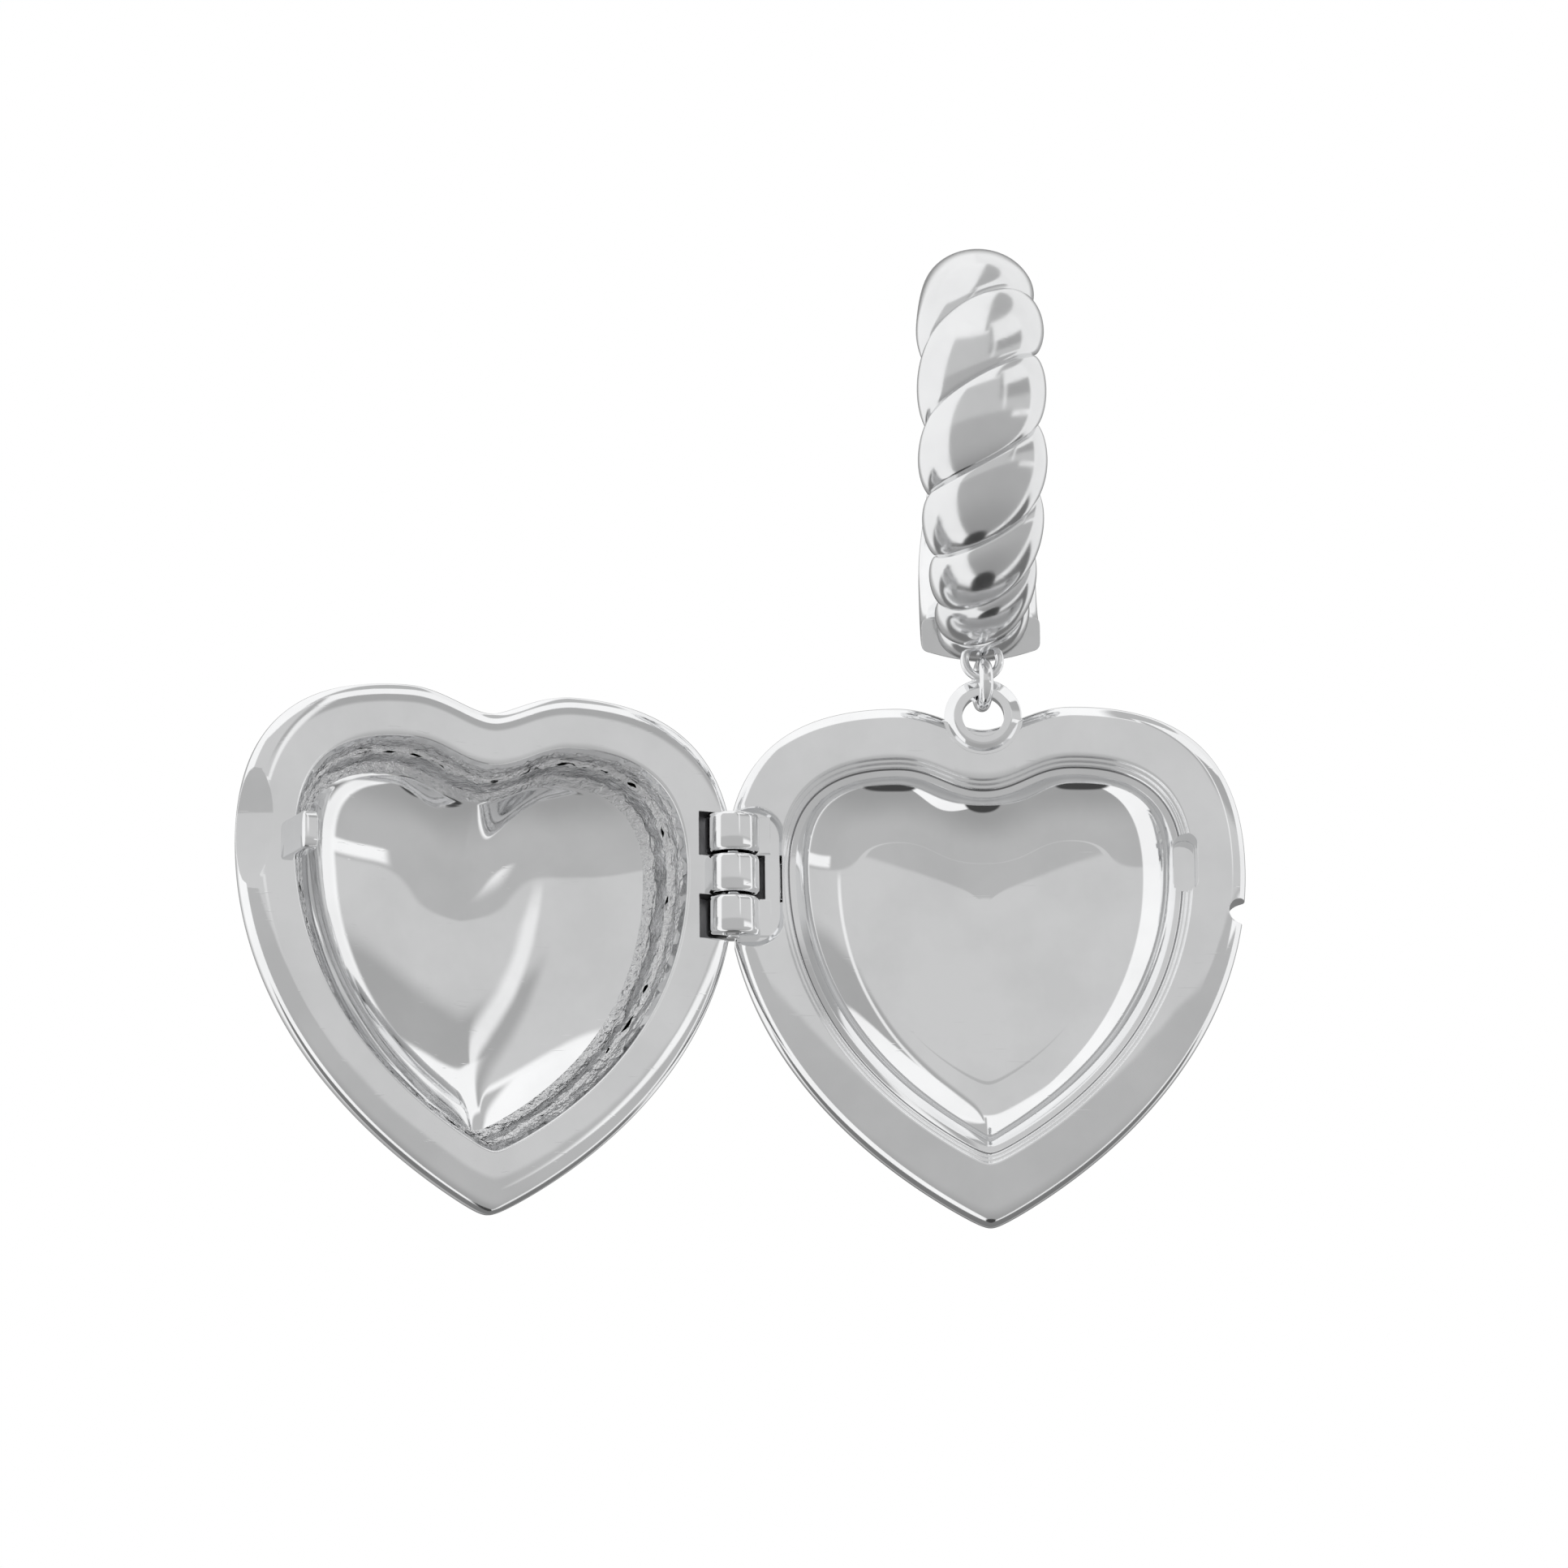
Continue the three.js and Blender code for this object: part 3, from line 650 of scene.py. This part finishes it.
def locket_back():
    shell = heart_shell(
        "back_shell",
        BACK_DOME,
        BACK_PROFILE,
        BACK_FLOOR,
        BACK_PLACE,
        [POLISHED, DISH_EDGE_SHADE],
        BACK_DISH_EDGE_SHADE,
        BACK_BEND,
    )
    plate = (PLATE_LOW, PLATE_HIGH, PLATE_CORNER, -1, PLATE_DEPTH, PLATE_SLOPE)
    latch_slot = (SLOT_LOW, SLOT_HIGH, SLOT_CORNER, -1, SLOT_DEPTH, SLOT_SLOPE)
    cuts = [
        block("trim", (-10, -1, 0), (-HINGE_REACH + TRIM_GAP, 4, 18), BACK_PLACE),
        rounded_pocket("plate", *plate, BACK_PLACE),
        slot_cutter(0, SLOT_IN_BACK, BACK_PLACE, 1),
        rounded_pocket("latch_slot", *latch_slot, BACK_PLACE),
        hole_cutter(NAIL_RADIUS, NAIL_X, NAIL_HEIGHT, -1, 4, BACK_PLACE),
        hole_cutter(BAIL_SEAT, 0, BAIL_HEIGHT, -1, BAIL_SEAT_DEPTH, BACK_PLACE),
    ]
    for cutter in cuts:
        combine(shell, cutter, "DIFFERENCE")
    smooth_shade(shell, 32)
    return shell


def thumb_cutter():
    """A round-bottomed cutter whose lowest line slopes from the rim down to the outer edge."""
    turn = np.linspace(0, 2 * math.pi, 256, endpoint=False)
    circle = [(-SCOOP_RADIUS + SCOOP_RADIUS * math.cos(a), SCOOP_RADIUS * math.sin(a)) for a in turn]
    rings = [[(x, y, z) for y, z in circle] for x in (-3, 3)]
    tilt = Matrix.Rotation(-math.atan2(SCOOP_DEPTH, SCOOP_REACH), 4, "Z")
    inner_end = Matrix.Translation((SCOOP_REACH - HEART_HALF_WIDTH, RIM_GAP, SCOOP_HEIGHT))
    return loft("scoop", rings, [POLISHED], COVER_PLACE @ inner_end @ tilt)


def latch_tab():
    """A flat tab with round corners that stands out of the rim."""
    corners = [
        (-LATCH_HALF, LATCH_ROOT, 0),
        (-LATCH_HALF, -LATCH_PROUD, 0.3),
        (LATCH_HALF, -LATCH_PROUD, 0.3),
        (LATCH_HALF, LATCH_ROOT, 0),
    ]
    outline = rounded(corners, 8)
    rings = []
    for x, shrink in LATCH_LAYERS:
        rings.append([(x, y * (shrink if y < 0 else 1), z * shrink) for z, y in outline])
    place = COVER_PLACE @ Matrix.Translation((LATCH_INSET - HEART_HALF_WIDTH, 0, LATCH_HEIGHT))
    tab = loft("latch_tab", rings, [POLISHED], place)
    smooth_shade(tab, 40)
    return tab


def locket_cover():
    shell = heart_shell(
        "cover_shell",
        COVER_DOME,
        COVER_PROFILE,
        COVER_HOLLOW,
        COVER_PLACE,
        [POLISHED, CAST],
        COVER_CAST,
        0,
    )
    cuts = [
        block("trim", (HINGE_REACH - TRIM_GAP, -1, 0), (10, 5, 18), COVER_PLACE),
        slot_cutter(-1, SLOT_IN_COVER, COVER_PLACE, -1),
        slot_cutter(1, SLOT_IN_COVER, COVER_PLACE, -1),
        thumb_cutter(),
    ]
    for cutter in cuts:
        combine(shell, cutter, "DIFFERENCE")
    smooth_shade(shell, 32)
    return shell


def bail_loop():
    """A flat loop with a broad bevel towards the front and the back."""
    corners = [
        (BAIL_HOLE, -BAIL_HALF, 0),
        (BAIL_OUTER - BAIL_BEVEL, -BAIL_HALF, 0.05),
        (BAIL_OUTER, -0.02, 0.1),
        (BAIL_OUTER, 0.02, 0.1),
        (BAIL_OUTER - BAIL_BEVEL, BAIL_HALF, 0.05),
        (BAIL_HOLE, BAIL_HALF, 0),
    ]
    hole_middle = Matrix.Translation((0, RIM_GAP + BAIL_BEHIND_RIM, BAIL_HEIGHT))
    place = BACK_PLACE @ hole_middle @ Matrix.Rotation(math.pi / 2, 4, "X")
    loop = turned("bail_loop", rounded(corners), [POLISHED], place)
    smooth_shade(loop, 40)
    return loop


# ------------------------------------------------------------------ pieces


def add(piece, body, slot, *nodes):
    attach(piece, body)
    if nodes:
        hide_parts(*nodes)


twist = twisted_arc()
smooth_shade(twist, 50)
add(twist, "hoop", "polished_silver", "hoop_front")
band = hoop_band()
smooth_shade(band, 30)
add(band, "hoop", "plain_silver", "hoop_back")
post = ear_post()
smooth_shade(post, 40)
add(post, "hoop", "plain_silver", "ear_post")
lug_middle = Matrix.Translation((0, HOOP_Y, HOOP_BOTTOM - LUG_BOTTOM + LUG_RADIUS))
lug_place = lug_middle @ Matrix.Rotation(math.pi / 2, 4, "X")
lug = wire_ring("hoop_lug", LUG_RADIUS, LUG_WIRE, [WIRE], lug_place)
smooth_shade(lug, 60)
add(lug, "hoop", "polished_silver")
ring_turn = Matrix.Rotation(RING_TURN, 4, "Z") @ Matrix.Rotation(math.pi / 2, 4, "Y")
ring_place = Matrix.Translation(ring_middle) @ ring_turn
ring = wire_ring("ring_wire", RING_RADIUS, RING_WIRE, [WIRE], ring_place)
smooth_shade(ring, 60)
add(ring, "ring", "polished_silver", "jump_ring")

add(locket_back(), "back", "polished_silver", "locket_back")
add(bail_loop(), "back", "polished_silver")
for level, name in ((-1, "knuckle_low"), (1, "knuckle_high")):
    add(knuckle(name, level, [POLISHED], BACK_PLACE, 1), "back", "polished_silver")
pin_half = 1.5 * KNUCKLE_LENGTH + KNUCKLE_GAP + PIN_EDGE
pin_profile = upright(PIN_RADIUS, -pin_half, pin_half, PIN_EDGE)
pin = peg("pin_wire", pin_profile, [WIRE], Matrix.Translation(pin_middle))
smooth_shade(pin, 40)
add(pin, "back", "plain_silver", "hinge_pin")

add(locket_cover(), "cover", "polished_silver", "locket_cover")
add(knuckle("knuckle_middle", 0, [POLISHED], COVER_PLACE, -1), "cover", "polished_silver")
add(latch_tab(), "cover", "polished_silver")

# ------------------------------------------------------------------ studio


def plain(name, color, glow):
    material = bpy.data.materials.new(name)
    material.use_nodes = True
    shader = material.node_tree.nodes["Principled BSDF"]
    shader.inputs["Base Color"].default_value = [color, color, color, 1]
    shader.inputs["Roughness"].default_value = 0.7
    shader.inputs["Emission Color"].default_value = [1, 1, 1, 1]
    shader.inputs["Emission Strength"].default_value = glow
    return material


def floor():
    """A pale floor half a metre below. It glows a little, so that no horizon shows from above."""
    bpy.ops.mesh.primitive_plane_add(size=8, location=(0, 0, -0.5))
    made = bpy.context.object
    made.name = "floor"
    made.data.materials.append(plain("pale_floor", color=0.9, glow=0.22))
    made.visible_glossy = False


TENT_WALL, TENT_SIDE, TENT_CEILING, TENT_CEILING_RIGHT = 1.0, 0.94, 1.02, 0.5
SCREEN_HIGH, SCREEN_MIDDLE, SCREEN_LOW, SCREEN_PANEL = 0.62, 0.49, 0.36, 0.42
LEVEL_GAP, UPRIGHT_GAP, LAMP = 0.98, 0.9, 0.98
CLOTH_BEHIND, CLOTH_FAR_BEHIND, CLOTH_BELOW, CLOTH_STRAIGHT_BELOW = 0.42, 0.2, 0.2, 0.06


def world():
    """A white tent with a grey screen in front of the object and darker cloth below and behind it.

    turn is a direction's angle to the right of straight in front of the object, and height is its
    angle above the horizon. x, y and z are the direction itself.
    """
    made = bpy.data.worlds.new("tent")
    bpy.context.scene.world = made
    made.use_nodes = True
    tree = made.node_tree
    place = node(tree, "ShaderNodeTexCoord")
    split = node(tree, "ShaderNodeSeparateXYZ")
    tree.links.new(place.outputs["Generated"], split.inputs["Vector"])

    def math_node(operation, first, second=None):
        made = node(tree, "ShaderNodeMath", {}, operation=operation)
        for socket, value in ((0, first), (1, second)):
            if isinstance(value, (int, float)):
                made.inputs[socket].default_value = value
            elif value is not None:
                tree.links.new(value, made.inputs[socket])
        return made.outputs["Value"]

    def between(value, low, high):
        """0 to 1 between two values."""
        values = {"From Min": low, "From Max": high, "To Min": 0.0, "To Max": 1.0}
        made = node(tree, "ShaderNodeMapRange", values, interpolation_type="SMOOTHSTEP")
        tree.links.new(value, made.inputs["Value"])
        return made.outputs["Result"]

    def mix(factor, first, second):
        made = node(tree, "ShaderNodeMix", {}, data_type="FLOAT")
        tree.links.new(factor, made.inputs["Factor"])
        for socket, value in (("A", first), ("B", second)):
            if isinstance(value, (int, float)):
                made.inputs[socket].default_value = value
            else:
                tree.links.new(value, made.inputs[socket])
        return made.outputs["Result"]

    def angles(value, low, high):
        """0 to 1 between two angles in degrees."""
        return between(value, low * degree, high * degree)

    def both(first, *others):
        for other in others:
            first = math_node("MULTIPLY", first, other)
        return first

    x, y, z = (split.outputs[name] for name in "XYZ")
    degree = math.radians(1)
    turn = math_node("ARCTAN2", x, math_node("MULTIPLY", y, -1))
    height = math_node("ARCSINE", z)
    on_right = angles(turn, 20, 26)

    # The tent: walls, and a ceiling that starts higher on the right and is grey there.
    ceiling = mix(on_right, 52 * degree, 60 * degree)
    over = math_node("SUBTRACT", height, ceiling)
    above = angles(over, 0, 3)
    walls = mix(angles(turn, 84, 90), TENT_WALL, TENT_SIDE)
    walls = mix(above, walls, TENT_CEILING)
    walls = mix(both(above, between(x, 0.1, 0.16)), walls, TENT_CEILING_RIGHT)

    # The grey screen: lighter high up, darker low down, with a dark panel at its upper right.
    screen = both(angles(turn, 86, 82), angles(turn, -50, -48), angles(over, 0, -3))
    grey = mix(angles(height, 9, 7.5), SCREEN_HIGH, SCREEN_MIDDLE)
    grey = mix(angles(height, -15, -70), grey, SCREEN_LOW)
    grey = mix(both(angles(height, 18, 24), on_right), grey, SCREEN_PANEL)

    # Bright gaps in the screen: a level one, an upright one, and a lamp over the panel.
    level_gap = both(angles(height, 0, 2), angles(height, 8, 6))
    grey = mix(both(level_gap, angles(turn, 44, 50)), grey, LEVEL_GAP)
    upright_gap = both(angles(turn, 28, 31), angles(turn, 36, 33))
    grey = mix(both(upright_gap, angles(height, 8, 14)), grey, UPRIGHT_GAP)
    grey = mix(both(angles(turn, 26, 32), angles(height, 36, 38)), grey, LAMP)
    tent = mix(screen, walls, grey)

    # Cloth behind the object, below it and straight under it.
    tent = mix(between(y, 0.72, 0.9), tent, CLOTH_BEHIND)
    tent = mix(between(y, 0.93, 0.99), tent, CLOTH_FAR_BEHIND)
    tent = mix(both(between(z, -0.3, -0.4), between(y, 0.06, 0.14)), tent, CLOTH_BELOW)
    tent = mix(between(z, -0.955, -0.97), tent, CLOTH_STRAIGHT_BELOW)
    paths = node(tree, "ShaderNodeLightPath")
    tent = mix(paths.outputs["Is Camera Ray"], tent, 1.0)
    tree.links.new(tent, tree.nodes["Background"].inputs["Color"])


def camera():
    """A long lens a little below the locket, looking up at it."""
    target = (LOCKET_TIP + VIEW_FROM_TIP) * MM
    distance = FRAME_WIDTH * MM * LENS / SENSOR
    back = Vector((0, -math.cos(ELEVATION), math.sin(ELEVATION)))
    data = bpy.data.cameras.new("camera")
    data.lens, data.sensor_width = LENS, SENSOR
    data.clip_start, data.clip_end = 0.01, 20
    made = bpy.data.objects.new("camera", data)
    made.location = target + back * distance
    made.rotation_mode = "QUATERNION"
    turn = Matrix.Rotation(-ROLL, 4, "Z").to_quaternion()
    made.rotation_quaternion = (-back).to_track_quat("-Z", "Y") @ turn
    bpy.context.scene.collection.objects.link(made)
    bpy.context.scene.camera = made


floor()
world()
camera()
bpy.context.scene.view_settings.view_transform = "Standard"
